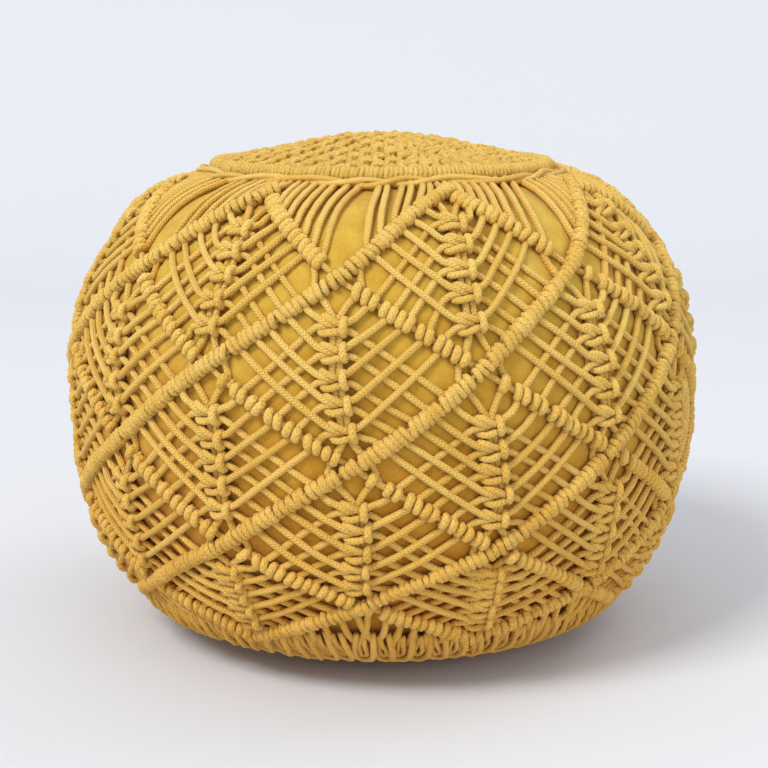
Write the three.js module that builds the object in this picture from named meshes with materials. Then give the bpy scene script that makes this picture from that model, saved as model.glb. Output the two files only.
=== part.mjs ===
// A macrame pouf: a filled round cushion inside a knotted net of braided cotton cord.
// Millimetres, +Z up. The origin is the centre of the sole, on the floor.
import * as THREE from 'three';

// Driving dimensions of the cushion, whose outline is two superellipse halves on one equator
const EQUATOR_RADIUS = 240;
const EQUATOR_HEIGHT = 200;
const CROWN_RISE = 187;
const CROWN_POWER = 2.35;
const SOLE_DROP = 209;
const SOLE_POWER = 2.9;

// The filling stands fuller at the shoulder, and the crown is drawn in between its middle and its ring
const SHOULDER = { rise: 7.2, radius: 185, spread: 30 };
const DRAWN_IN = { rise: -5.5, radius: 85, spread: 45 };

// Driving dimensions of the net
const REPEATS = 8;
const NET_TURN = THREE.MathUtils.degToRad(-5.7);
const HALF_STEP = Math.PI / REPEATS;
const CORD = 4.8;
const TOUCH_GAP = 0.3;

// Rows of crossings between the diagonal bars, by the length of the outline from the crown's middle
const ROWS = [
  { row: 0, arc: 165 },
  { row: 1, arc: 241 },
  { row: 2, arc: 304 },
  { row: 3, arc: 365 },
  { row: 4, arc: 424 },
  { row: 5, arc: 478 },
  { row: 6, arc: 522 },
];

// Working cords of a full diamond: place down its column, and place along its upper bars, from 0 to 1
const FULL_CORDS = [
  { down: 0.29, along: 0.2 },
  { down: 0.54, along: 0.52 },
  { down: 0.8, along: 0.86 },
];

// The rows of diamonds, each from its top row of crossings to the second row below it
const DIAMONDS = [
  { top: 0, knotted: false, cords: [{ down: 0.42, along: 0.36 }, { down: 0.74, along: 0.8 }] },
  { top: 1, knotted: true, cords: FULL_CORDS },
  { top: 2, knotted: true, cords: FULL_CORDS },
  { top: 3, knotted: true, cords: FULL_CORDS },
  { top: 4, knotted: false, cords: [{ down: 0.6, along: 0.62 }] },
];

// Sections of the net's ribs: half the width, and the heights over the cushion of the underside, of the
// crest and of the dips between two hitches or knots
const FRONT_BAR = { half: 4.8, under: 1.7, dip: 6.4, crest: 9.6, pitch: 19.5 };
const BACK_BAR = { half: 4.6, under: 1.7, dip: 5.8, crest: 8.8, pitch: 19.5 };
const KNOTS = { half: 5, under: 1.7, dip: 6.2, crest: 9.6 };
const PLAIN = { half: 3, under: 1.7, dip: 5.8, crest: 5.8 };
const LONGEST_BASE = 40;

// Plain cords: how far one sags on its way to its knot, as a share of its drop, and how far one from the
// crown ring bows up on its way to a first bar; that one starts this share of a half step off the crossing
const KNOT_CORD_SAG = 0.14;
const CROWN_CORD_SAG = -0.1;
const CROWN_CORD_START = 0.78;

// Crown: ribbed ring and the two rounds of cord, by length of the outline from the crown's middle
const RING = { from: 127, to: 137, ribs: 60, swell: 1.2, under: 0.7, shoulder: 5.6, crest: 8.2 };
const ROUNDS = [
  { name: 'crown_cord_inner', arc: 141.6, lift: 8.9, waves: 16, scallop: 0.9, steps: 64 },
  { name: 'crown_cord_outer', arc: 147.3, lift: 8.7, waves: 16, scallop: 0.9, steps: 64 },
];
const NET_START = RING.to + TOUCH_GAP;

// Base: the dense rounds of large loops, from under the lowest bars down to the floor
const BAND = { loops: 80, swell: 2.6, lift: 7.6, under: 0.8, thin: 4.6, belowBars: 7.5 };

// Knotted piece on the crown, inside the ring: rounds of raised knots round its middle
const CROWN = { rounds: 10, morePerRound: 12, dip: 3.8, crest: 7.6, under: 0.9, underRings: 5 };

// Facets of the cushion: columns round it and rows from the sole to the crown
const CUSHION_COLUMNS = 48;
const CUSHION_ROWS = 20;

const COTTON = { color: 0xd9a93a, roughness: 0.95, metalness: 0 };
const CASING = { color: 0xdcae35, roughness: 0.97, metalness: 0 };

const OUTLINE_STEPS = 1200;
const NORMAL_REACH = 8;

// A point of the cushion's outline: angle from +90 degrees at the crown down to the floor
function outlineAt(angle) {
  const c = Math.max(Math.cos(angle), 0);
  const s = Math.abs(Math.sin(angle));
  if (angle >= 0) {
    const radius = EQUATOR_RADIUS * c ** (2 / CROWN_POWER);
    const change = s * (bulgeAt(SHOULDER, radius) + bulgeAt(DRAWN_IN, radius));
    return [radius, EQUATOR_HEIGHT + CROWN_RISE * s ** (2 / CROWN_POWER) + change];
  }
  return [EQUATOR_RADIUS * c ** (2 / SOLE_POWER), EQUATOR_HEIGHT - SOLE_DROP * s ** (2 / SOLE_POWER)];
}

// Height that a round bulge of the crown adds at a radius
function bulgeAt(bulge, radius) {
  return bulge.rise * Math.exp(-(((radius - bulge.radius) / bulge.spread) ** 2));
}

// The outline as fine steps with the length run so far, from the crown's middle to the floor
function measuredOutline() {
  const floorAngle = -Math.asin((EQUATOR_HEIGHT / SOLE_DROP) ** (SOLE_POWER / 2));
  const steps = OUTLINE_STEPS;
  const list = [];
  let run = 0;
  for (let i = 0; i <= steps; i += 1) {
    const angle = Math.PI / 2 + (floorAngle - Math.PI / 2) * (i / steps);
    const [radius, height] = outlineAt(angle);
    if (i > 0) {
      const last = list[i - 1];
      run += Math.hypot(radius - last.radius, height - last.height);
    }
    list.push({ run, radius, height });
  }
  return list;
}

const OUTLINE = measuredOutline();
const FULL_ARC = OUTLINE[OUTLINE.length - 1].run;

// Radius, height and outward normal of the outline at a length from the crown's middle
function outlineAtArc(arc) {
  let i = 1;
  while (i < OUTLINE.length - 1 && OUTLINE[i].run < arc) {
    i += 1;
  }
  const a = OUTLINE[i - 1];
  const b = OUTLINE[i];
  const part = (arc - a.run) / (b.run - a.run);
  const before = OUTLINE[Math.max(i - 1 - NORMAL_REACH, 0)];
  const after = OUTLINE[Math.min(i + NORMAL_REACH, OUTLINE.length - 1)];
  const run = Math.hypot(after.radius - before.radius, after.height - before.height);
  return {
    radius: a.radius + (b.radius - a.radius) * part,
    height: a.height + (b.height - a.height) * part,
    outR: (before.height - after.height) / run,
    outZ: (after.radius - before.radius) / run,
  };
}

// A point over the cushion: turn about the axis from the front, length down the outline, lift off it
function over(turn, arc, lift) {
  const at = outlineAtArc(arc);
  const radius = at.radius + lift * at.outR;
  return new THREE.Vector3(
    radius * Math.sin(turn),
    -radius * Math.cos(turn),
    at.height + lift * at.outZ,
  );
}

// Length down the outline at a place between the rows, such as 2.5 halfway from row 2 to row 3
function arcAtRow(row) {
  const i = Math.min(Math.max(Math.floor(row), 0), ROWS.length - 2);
  return ROWS[i].arc + (ROWS[i + 1].arc - ROWS[i].arc) * (row - i);
}

// Turn of a crossing: the even rows stand half a step on from the odd ones
function turnAt(halfSteps) {
  return NET_TURN + halfSteps * HALF_STEP;
}

function geometryOf(points, triangles) {
  const geometry = new THREE.BufferGeometry();
  geometry.setAttribute('position', new THREE.Float32BufferAttribute(points.flatMap((p) => [p.x, p.y, p.z]), 3));
  geometry.setIndex(triangles.flat());
  return geometry;
}

// The net: crossings joined by ribs. Every rib has a flat underside and a crest; ribs that meet at a
// crossing share its crest point and the corners between them, so the whole net is one closed body.
const joints = new Map();
const ribs = [];

function jointAt(step, arc, lift) {
  const wrapped = ((step % (2 * REPEATS)) + 2 * REPEATS) % (2 * REPEATS);
  const key = `${wrapped.toFixed(4)}:${arc.toFixed(3)}`;
  if (!joints.has(key)) {
    joints.set(key, { turn: turnAt(wrapped), arc, lift, under: PLAIN.under, leaving: [] });
  }
  const joint = joints.get(key);
  joint.lift = Math.max(joint.lift, lift);
  return joint;
}

function shortTurn(angle) {
  return Math.atan2(Math.sin(angle), Math.cos(angle));
}

// A rib from joint to joint. Its crest has a given number of steps, high or low by turns, and it may
// sag below the straight line by a share of its drop.
function addRib(from, to, section, crestSteps, highFirst, sag = 0) {
  const across = shortTurn(to.turn - from.turn);
  const place = (t) => ({
    turn: from.turn + across * t,
    arc: from.arc + (to.arc - from.arc) * t + sag * (to.arc - from.arc) * Math.sin(Math.PI * t),
  });
  const length = over(from.turn, from.arc, 0).distanceTo(over(to.turn, to.arc, 0));
  const bases = Math.max(1, Math.ceil(length / LONGEST_BASE));
  const rib = { place, section, bases, crests: Math.max(crestSteps, bases), highFirst };
  rib.start = { rib, atStart: true };
  rib.finish = { rib, atStart: false };
  from.leaving.push(rib.start);
  to.leaving.push(rib.finish);
  ribs.push(rib);
}

// Unit direction of a rib in the surface where it leaves a joint: x to the right, y up
function leavingDirection(end) {
  const t = end.atStart ? 0 : 1;
  const here = end.rib.place(t);
  const near = end.rib.place(end.atStart ? 0.05 : 0.95);
  const radius = outlineAtArc(here.arc).radius;
  const x = (near.turn - here.turn) * radius;
  const y = here.arc - near.arc;
  const run = Math.hypot(x, y);
  return { x: x / run, y: y / run };
}

function addLongBars() {
  for (let k = 0; k < REPEATS; k += 1) {
    for (const way of [-1, 1]) {
      const section = way < 0 ? FRONT_BAR : BACK_BAR;
      for (let row = 0; row < ROWS.length - 1; row += 1) {
        addBarStretch(2 * k + 1 + way * row, way, row, section);
      }
    }
  }
}

// One stretch of a bar, from a crossing to the next, split where working cords join it
function addBarStretch(step, way, row, section) {
  const diamond = DIAMONDS.find((d) => d.top === row);
  const places = [0, ...(diamond ? diamond.cords.map((cord) => cord.along) : []), 1];
  for (let i = 1; i < places.length; i += 1) {
    const [a, b] = [places[i - 1], places[i]];
    const from = jointAt(step + way * a, arcAtRow(row + a), a === 0 ? section.crest : section.dip);
    const to = jointAt(step + way * b, arcAtRow(row + b), b === 1 ? section.crest : section.dip);
    const length = over(from.turn, from.arc, 0).distanceTo(over(to.turn, to.arc, 0));
    addRib(from, to, section, 2 * Math.max(1, Math.round(length / section.pitch)), true);
  }
}

// The column down a diamond with its working cords, which come from the upper bars on both sides
function addDiamond(diamond, step) {
  const place = (down) => arcAtRow(diamond.top) + (arcAtRow(diamond.top + 2) - arcAtRow(diamond.top)) * down;
  const section = diamond.knotted ? KNOTS : PLAIN;
  let above = jointAt(step, place(0), PLAIN.crest);
  for (const [i, cord] of diamond.cords.entries()) {
    const knot = jointAt(step, place(cord.down), section.crest);
    const plain = i === 0 || !diamond.knotted;
    addRib(above, knot, plain ? PLAIN : KNOTS, plain ? 2 : 4, false);
    for (const way of [-1, 1]) {
      const start = jointAt(step + way * cord.along, arcAtRow(diamond.top + cord.along), PLAIN.crest);
      addRib(start, knot, PLAIN, 2, false, KNOT_CORD_SAG);
    }
    above = knot;
  }
  addRib(above, jointAt(step, place(1), PLAIN.crest), PLAIN, 2, false);
}

// Cords from the crown ring: a straight one to each first crossing, and one to the foot of each first bar
function addCrownCords() {
  const { along } = DIAMONDS[0].cords[DIAMONDS[0].cords.length - 1];
  for (let k = 0; k < REPEATS; k += 1) {
    const crossing = 2 * k + 1;
    const middle = jointAt(crossing, NET_START, PLAIN.crest);
    addRib(middle, jointAt(crossing, arcAtRow(0), PLAIN.crest), PLAIN, 2, false);
    for (const way of [-1, 1]) {
      const start = jointAt(crossing + way * CROWN_CORD_START, NET_START, PLAIN.crest);
      const foot = jointAt(crossing + way * along, arcAtRow(along), PLAIN.crest);
      addRib(start, foot, PLAIN, 3, false, CROWN_CORD_SAG);
    }
  }
}

// Corner between two ribs that leave a joint next to each other, counter-clockwise from outside, where
// their edges meet. Ribs nearly in line have it straight beside the joint.
const IN_LINE_SINE = 0.3;

function cornerBetween(first, second) {
  const [a, b] = [first.direction, second.direction];
  const [wa, wb] = [first.rib.section.half, second.rib.section.half];
  const sine = a.x * b.y - a.y * b.x;
  if (sine > IN_LINE_SINE) {
    const run = (wb + wa * (a.x * b.x + a.y * b.y)) / sine;
    return { x: -a.y * wa + a.x * run, y: a.x * wa + a.y * run };
  }
  return { x: (-a.y * wa + b.y * wb) / 2, y: (a.x * wa - b.x * wb) / 2 };
}

// All points and triangles of the net
function sideNet() {
  addLongBars();
  addCrownCords();
  for (const diamond of DIAMONDS) {
    for (let k = 0; k < REPEATS; k += 1) {
      addDiamond(diamond, 2 * k + (diamond.top % 2 === 0 ? 1 : 0));
    }
  }
  const points = [];
  const triangles = [];
  const addPoint = (turn, arc, lift) => points.push(over(turn, arc, lift)) - 1;
  const addBeside = (at, offset, lift) => {
    const radius = outlineAtArc(at.arc).radius;
    return addPoint(at.turn + offset.x / radius, at.arc - offset.y, lift);
  };
  for (const joint of joints.values()) {
    meshJoint(joint, addPoint, addBeside, triangles);
  }
  for (const rib of ribs) {
    meshRib(rib, addPoint, addBeside, triangles);
  }
  return geometryOf(points, triangles);
}

// The underside of a crossing, and the corners its ribs start from. A cord's loose end is cut level.
const FLATTEST_END = 0.5;

function meshJoint(joint, addPoint, addBeside, triangles) {
  const centre = addPoint(joint.turn, joint.arc, joint.lift);
  for (const end of joint.leaving) {
    end.direction = leavingDirection(end);
    end.centre = centre;
  }
  if (joint.leaving.length === 1) {
    const [end] = joint.leaving;
    const reach = end.rib.section.half / Math.max(Math.abs(end.direction.y), FLATTEST_END);
    const toLeft = -Math.sign(end.direction.y) * reach;
    end.left = addBeside(joint, { x: toLeft, y: 0 }, joint.under);
    end.right = addBeside(joint, { x: -toLeft, y: 0 }, joint.under);
    triangles.push([end.left, end.right, centre]);
    return;
  }
  const around = [...joint.leaving].sort(
    (a, b) => Math.atan2(a.direction.y, a.direction.x) - Math.atan2(b.direction.y, b.direction.x),
  );
  const corners = around.map((end, i) => {
    const next = around[(i + 1) % around.length];
    return addBeside(joint, cornerBetween(end, next), joint.under);
  });
  around.forEach((end, i) => {
    end.left = corners[i];
    end.right = corners[(i + corners.length - 1) % corners.length];
  });
  for (let i = 1; i < corners.length - 1; i += 1) {
    triangles.push([corners[0], corners[i + 1], corners[i]]);
  }
}

// A rib's flat underside and the two slopes up to its crest
function meshRib(rib, addPoint, addBeside, triangles) {
  const { start, finish, section, bases, place } = rib;
  const perBase = Math.max(1, Math.round(rib.crests / bases));
  const crests = perBase * bases;
  const left = [start.left];
  const right = [start.right];
  for (let i = 1; i < bases; i += 1) {
    const at = place(i / bases);
    const ahead = place(i / bases + 0.01);
    const x = (ahead.turn - at.turn) * outlineAtArc(at.arc).radius;
    const y = at.arc - ahead.arc;
    const scale = section.half / Math.hypot(x, y);
    left.push(addBeside(at, { x: -y * scale, y: x * scale }, section.under));
    right.push(addBeside(at, { x: y * scale, y: -x * scale }, section.under));
  }
  left.push(finish.right);
  right.push(finish.left);
  const crest = [start.centre];
  for (let i = 1; i < crests; i += 1) {
    const at = place(i / crests);
    const high = rib.highFirst ? i % 2 === 1 : i % 2 === 0;
    crest.push(addPoint(at.turn, at.arc, high ? section.crest : section.dip));
  }
  crest.push(finish.centre);
  for (let i = 0; i < bases; i += 1) {
    const [l0, l1, r0, r1] = [left[i], left[i + 1], right[i], right[i + 1]];
    triangles.push([l0, r1, r0], [l0, l1, r1]);
    const turnOver = Math.ceil(perBase / 2);
    for (let k = 0; k < perBase; k += 1) {
      const [c0, c1] = [crest[i * perBase + k], crest[i * perBase + k + 1]];
      triangles.push(k < turnOver ? [l0, c0, c1] : [l1, c0, c1]);
      triangles.push(k < turnOver ? [r0, c1, c0] : [r1, c1, c0]);
    }
    const middle = crest[i * perBase + turnOver];
    triangles.push([l0, middle, l1], [r0, r1, middle]);
  }
}

// The filled casing: flat sole, full sides and a flatter crown
function cushion() {
  const profile = [new THREE.Vector2(0, 0)];
  for (let i = 0; i < CUSHION_ROWS; i += 1) {
    const at = outlineAtArc(FULL_ARC * (1 - i / CUSHION_ROWS));
    profile.push(new THREE.Vector2(at.radius, i === 0 ? 0 : at.height));
  }
  profile.push(new THREE.Vector2(0, EQUATOR_HEIGHT + CROWN_RISE));
  return new THREE.LatheGeometry(profile, CUSHION_COLUMNS).rotateX(Math.PI / 2);
}

// A closed ring from a section worked out at each turn about the axis: the list of its points,
// counter-clockwise where the ring is cut and seen with the axis on the left
function ringOf(steps, sectionAt) {
  const points = [];
  const triangles = [];
  let n = 0;
  for (let i = 0; i < steps; i += 1) {
    const section = sectionAt(i, turnAt((2 * REPEATS * i) / steps));
    n = section.length;
    points.push(...section);
  }
  for (let i = 0; i < steps; i += 1) {
    for (let k = 0; k < n; k += 1) {
      const a = i * n + k;
      const b = i * n + ((k + 1) % n);
      const c = ((i + 1) % steps) * n + k;
      const d = ((i + 1) % steps) * n + ((k + 1) % n);
      triangles.push([a, c, b], [b, c, d]);
    }
  }
  return geometryOf(points, triangles);
}

// The ribbed ring of hitches round the crown
function crownRing() {
  const middle = (RING.from + RING.to) / 2;
  return ringOf(2 * RING.ribs, (i, turn) => {
    const low = i % 2 === 0 ? 0 : RING.swell;
    return [
      over(turn, RING.to, RING.under),
      over(turn, RING.to, RING.shoulder - low),
      over(turn, middle, RING.crest - low),
      over(turn, RING.from, RING.shoulder - low),
      over(turn, RING.from, RING.under),
    ];
  });
}

// A loose round of cord that lies over the net's first cords in shallow scallops
function crownRound(round) {
  const sides = 6;
  return ringOf(round.steps, (i, turn) => {
    const wave = Math.cos(round.waves * (turn - NET_TURN));
    const arc = round.arc + round.scallop * wave;
    const section = [];
    for (let k = 0; k < sides; k += 1) {
      const angle = (Math.PI * 2 * k) / sides;
      const across = (CORD / 2) * Math.cos(angle);
      const up = (CORD / 2) * Math.sin(angle);
      section.push(over(turn, arc + across, round.lift + up));
    }
    return section;
  });
}

// The dense last rounds, whose upper edge follows the zigzag of the lowest bars
function baseBand() {
  const steps = 2 * BAND.loops;
  const perHalfStep = steps / (2 * REPEATS);
  const floorLength = arcOfLiftedFloor(BAND.lift);
  return ringOf(steps, (i, turn) => {
    const fromPeak = Math.abs(((i + perHalfStep) % (2 * perHalfStep)) - perHalfStep) / perHalfStep;
    const top = arcAtRow(ROWS.length - 2 + fromPeak) + BAND.belowBars;
    const low = i % 2 === 0 ? 0 : BAND.swell;
    const outer = [0, 1 / 3, 2 / 3].map((t) => {
      const lift = (t === 0 ? BAND.thin : BAND.lift) - low * (t === 0 ? 0.5 : 1);
      return over(turn, top + (floorLength - top) * t, lift);
    });
    const inner = [0.75, 0.5, 0.25, 0].map((t) => over(turn, top + (FULL_ARC - top) * t, BAND.under));
    const foot = outlineAtArc(FULL_ARC).radius + BAND.under;
    const rim = over(turn, floorLength, BAND.lift - low);
    const flat = (radius) => new THREE.Vector3(radius * Math.sin(turn), -radius * Math.cos(turn), 0);
    return [...inner.reverse(), flat(foot), flat(Math.hypot(rim.x, rim.y)), ...outer.reverse()];
  });
}

// Length down the outline at which a point lifted off the cushion meets the floor
function arcOfLiftedFloor(lift) {
  const step = 0.25;
  let arc = FULL_ARC;
  while (over(0, arc, lift).z < 0) {
    arc -= step;
  }
  return arc;
}

// Triangles between a ring of points and a wider one round it, seen from the outside
function bridgeRings(inner, outer, triangles) {
  let [i, j] = [0, 0];
  while (i < inner.length || j < outer.length) {
    const a = inner[i % inner.length];
    const b = outer[j % outer.length];
    if ((j + 1) * inner.length <= (i + 1) * outer.length && j < outer.length) {
      j += 1;
      triangles.push([a, b, outer[j % outer.length]]);
    } else {
      i += 1;
      triangles.push([a, b, inner[i % inner.length]]);
    }
  }
}

// The round knotted piece on the crown: rounds of raised knots, more in each wider round, over a smooth
// underside
function crownNet() {
  const points = [over(0, 0, CROWN.crest), over(0, 0, CROWN.under)];
  const triangles = [];
  const widest = RING.from - TOUCH_GAP;
  const ringAt = (arc, count, liftAt) => {
    const ring = [];
    for (let i = 0; i < count; i += 1) {
      ring.push(points.push(over((Math.PI * 2 * i) / count, arc, liftAt(i))) - 1);
    }
    return ring;
  };
  const rings = [];
  for (let r = 1; r <= CROWN.rounds; r += 1) {
    const liftAt = (i) => ((i + r) % 2 === 0 ? CROWN.crest : CROWN.dip);
    rings.push(ringAt((widest * r) / CROWN.rounds, CROWN.morePerRound * r, liftAt));
  }
  for (let r = CROWN.underRings; r > 0; r -= 1) {
    rings.push(ringAt((widest * r) / CROWN.underRings, CUSHION_COLUMNS, () => CROWN.under));
  }
  bridgeRings([0], rings[0], triangles);
  for (let r = 1; r < rings.length; r += 1) {
    bridgeRings(rings[r - 1], rings[r], triangles);
  }
  bridgeRings(rings[rings.length - 1], [1], triangles);
  return geometryOf(points, triangles.filter(([a, b, c]) => a !== b && b !== c && c !== a));
}

const group = new THREE.Group();

function addPiece(name, geometry, look) {
  const mesh = new THREE.Mesh(geometry, new THREE.MeshStandardMaterial(look));
  mesh.name = name;
  group.add(mesh);
}

addPiece('cushion', cushion(), CASING);
addPiece('side_net', sideNet(), COTTON);
addPiece('crown_net', crownNet(), COTTON);
addPiece('crown_ring', crownRing(), COTTON);
for (const round of ROUNDS) {
  addPiece(round.name, crownRound(round), COTTON);
}
addPiece('base_band', baseBand(), COTTON);

export default group;
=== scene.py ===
# A macrame pouf: a filled round cushion inside a net of knotted braided cotton cord.
# Shapes are worked out in millimetres and become metres when a mesh is made. A point of the net is
# given by its turn about the axis (from the front, towards +X), its arc (length down the outline
# from the crown's middle) and its lift off the cushion.
import math
from functools import partial

import bpy
import numpy as np
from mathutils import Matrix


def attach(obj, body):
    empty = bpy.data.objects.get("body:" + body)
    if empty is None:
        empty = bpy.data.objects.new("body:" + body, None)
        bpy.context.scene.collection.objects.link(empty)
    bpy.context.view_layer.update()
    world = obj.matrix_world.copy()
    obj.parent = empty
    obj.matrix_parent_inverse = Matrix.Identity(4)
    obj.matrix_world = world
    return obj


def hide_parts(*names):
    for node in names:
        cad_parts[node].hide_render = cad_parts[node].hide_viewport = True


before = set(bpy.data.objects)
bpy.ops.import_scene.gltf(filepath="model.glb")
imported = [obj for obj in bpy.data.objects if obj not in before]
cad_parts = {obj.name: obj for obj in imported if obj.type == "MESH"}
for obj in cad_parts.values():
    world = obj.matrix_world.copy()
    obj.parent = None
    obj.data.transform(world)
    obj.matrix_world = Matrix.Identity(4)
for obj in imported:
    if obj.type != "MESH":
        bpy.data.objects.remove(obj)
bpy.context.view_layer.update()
rng = np.random.default_rng(11)

# The cushion's outline: two superellipse halves on one equator
EQUATOR_RADIUS = 240.0
EQUATOR_HEIGHT = 200.0
CROWN_RISE = 187.0
CROWN_POWER = 2.35
SOLE_DROP = 209.0
SOLE_POWER = 2.9

# Round bulges of the crown's height: how much, at which radius and how wide
SHOULDER = (7.2, 185.0, 30.0)
DRAWN_IN = (-5.5, 85.0, 45.0)

# The net: its repeats, and the arcs of its rows of crossings
REPEATS = 8
NET_TURN = math.radians(-5.7)
HALF_STEP = math.pi / REPEATS
CORD = 5.1
ROW_ARCS = [165.0, 241.0, 304.0, 365.0, 424.0, 478.0, 516.0]
BAR_ROWS = len(ROW_ARCS) - 1

# Hitches on each stretch of a bar: how many, where the first and the last lie along it, as a share
# of its length, and how far one may stray. The lowest bars start sooner, and the top bars behind
# end sooner.
HITCHES = 7
FIRST_HITCH = 0.14
FIRST_LOWEST_HITCH = 0.07
LAST_HITCH = 0.87
LAST_TOP_HITCH = 0.80
HITCH_STRAY = 0.010

# Square knots of a diamond, as shares of its drop
KNOT_DOWN = [0.27, 0.40, 0.53, 0.665, 0.805]

# Heights of the cords' middles over the cushion, and the height that a depth value of 1 stands for
FRONT_LIFT = 4.3
BACK_LIFT = 3.6
KNOT_LIFT = 2.7
# A point's depth value sets how much painted shade the cord material gives it, most where it lies
# close to the cushion
FULL_DEPTH = 11.0

# A knot is no wider, in turn, than it would be at this distance from the crown's middle
LEAST_RADIUS = 9.0

# The crown: its rounds of knots, the ribbed ring and the two loose rounds outside it
CROWN_CORD = 4.4
CROWN_ROUNDS = 9
CROWN_PITCH = 12.6
CROWN_KNOT_WIDTH = 18.0
CROWN_LIFT = 2.2
INSIDE_RING = 12.0
RING_ARC = 131.5
RING_HITCHES = 240
RING_LIFT = 3.9
RING_WRAP = 5.0
RING_CORE_LIFT = 4.0
RING_CORE_RADIUS = 3.6
ROUND_ARC = 144.0
ROUND_SAG = 2.4
ROUND_LIFT = 4.2
ROUND_TWISTS = 11
ROUND_APART = 2.9
ROUND_RADIUS = 2.3

# The base: where the cords from the lowest bars end, the large loops, and the cords under the sole
LAST_CORD_ARC = 519.0
LAST_CORD_RADIUS = 195
LOOPS = 96
LOOP_ARC = 534.0
LOOP_CORD = 4.5
LOOP_RADIUS = 192
UNDER_CORDS = 112
UNDER_RADIUS = 2.4
UNDER_HEIGHT = 2.8
LAST_ROUND_RADIUS = 118

# The casing's grid, how far from its own middle a cord presses it in, in cells, and the limit that
# the cord sets there: this much under its middle line, and rising away from it
CASING_COLUMNS = 352
CASING_ROWS = 148
PRESSED_CELLS = 3
PRESSED_UNDER = 0.4
PRESSED_SLOPE = 0.46
PRESSED_POWER = 1.15
NO_LIMIT = 9.0

# By arc: how much fuller the net stands, how far the casing swells through it, the loops' crests
FULLER = {
    "arc": [225, 255, 330, 400, 440, 480, 520],
    "lift": [0, 1.8, 3.0, 2.2, 1.0, -0.8, -0.2],
}
SWELL = {
    "arc": [150, 190, 225, 260, 330, 400, 450, 520],
    "lift": [-0.4, 1.0, 2.8, 4.2, 5.0, 3.6, 0.8, -1.6],
}
LOOP_CREST = {
    "arc": [500, 525, 533, 542, 552],
    "lift": [7.6, 7.6, 6.8, 5.4, 3.4],
}


def measured_outline():
    """Arc, radius, height and outward direction along the outline, from the crown's middle down."""
    floor_angle = -math.asin((EQUATOR_HEIGHT / SOLE_DROP) ** (SOLE_POWER / 2))
    angle = np.linspace(math.pi / 2, floor_angle, 6001)
    c = np.clip(np.cos(angle), 0, 1)
    s = np.abs(np.sin(angle))
    upper = angle >= 0
    radius = EQUATOR_RADIUS * np.where(upper, c ** (2 / CROWN_POWER), c ** (2 / SOLE_POWER))
    bulge = sum(
        rise * np.exp(-(((radius - at) / wide) ** 2)) for rise, at, wide in (SHOULDER, DRAWN_IN)
    )
    height = EQUATOR_HEIGHT + np.where(
        upper, CROWN_RISE * s ** (2 / CROWN_POWER) + s * bulge, -SOLE_DROP * s ** (2 / SOLE_POWER)
    )
    run = np.concatenate(([0.0], np.cumsum(np.hypot(np.diff(radius), np.diff(height)))))
    arc = np.linspace(0, run[-1], 1200)
    radius = np.interp(arc, run, radius)
    height = np.interp(arc, run, height)
    out_r = -np.gradient(height, arc)
    out_z = np.gradient(radius, arc)
    size = np.hypot(out_r, out_z)
    return arc, radius, height, out_r / size, out_z / size


RUN, RADIUS, HEIGHT, OUT_R, OUT_Z = measured_outline()
FULL_ARC = RUN[-1]


def radius_at(arc):
    return np.interp(arc, RUN, RADIUS)


def full_turn(steps):
    return 2 * math.pi * np.arange(steps) / steps


def by_arc(table, arc):
    return np.interp(arc, table["arc"], table["lift"])


def over(turn, arc, lift):
    """Points over the cushion, in millimetres."""
    radius = np.interp(arc, RUN, RADIUS) + lift * np.interp(arc, RUN, OUT_R)
    height = np.interp(arc, RUN, HEIGHT) + lift * np.interp(arc, RUN, OUT_Z)
    return np.stack([radius * np.sin(turn), -radius * np.cos(turn), height], axis=-1)


def lift_of(points):
    """How far world points, in millimetres, stand off the cushion."""
    radius = np.hypot(points[:, 0], points[:, 1])
    height = points[:, 2] - EQUATOR_HEIGHT
    middle_height = HEIGHT - EQUATOR_HEIGHT
    reach = np.hypot(RADIUS, middle_height)
    angles = np.arctan2(middle_height, RADIUS)[::-1]
    angle = np.arctan2(height, radius)
    facing = np.interp(angle, angles, ((RADIUS * OUT_R + middle_height * OUT_Z) / reach)[::-1])
    return (np.hypot(radius, height) - np.interp(angle, angles, reach[::-1])) * facing


def wander(turn, arc):
    """How far the hand-made net strays from an even one: turn in radians, arc in millimetres."""
    fade = np.clip((arc - 150) / 40, 0, 1) * np.clip((560 - arc) / 60, 0, 1)
    # The lower half is turned a little against the upper half
    aside = 0.03 * np.tanh((arc - 335) / 45) + 0.006 * np.sin(3 * turn + arc / 70 + 1.3)
    # The upper rows hang lower on the left, the lower rows stand higher in front and behind
    high = np.clip((345 - arc) / 60, 0, 1)
    low = np.clip((arc - 430) / 40, 0, 1)
    down = high * (-2 - 6 * np.sin(turn)) - low * (1 + 8 * np.cos(2 * turn))
    down = down + 1.4 * np.sin(2 * turn + 0.5 + arc / 60) + 1.2 * np.sin(5 * turn + 2 - arc / 45)
    return fade * aside, fade * down


def in_net(points):
    """World points of (turn, arc, lift) rows."""
    turn, arc, lift = points[..., 0], points[..., 1], points[..., 2]
    aside, down = wander(turn, arc)
    return over(turn + aside, arc + down, lift + by_arc(FULLER, arc))


# Curves and tubes


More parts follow.
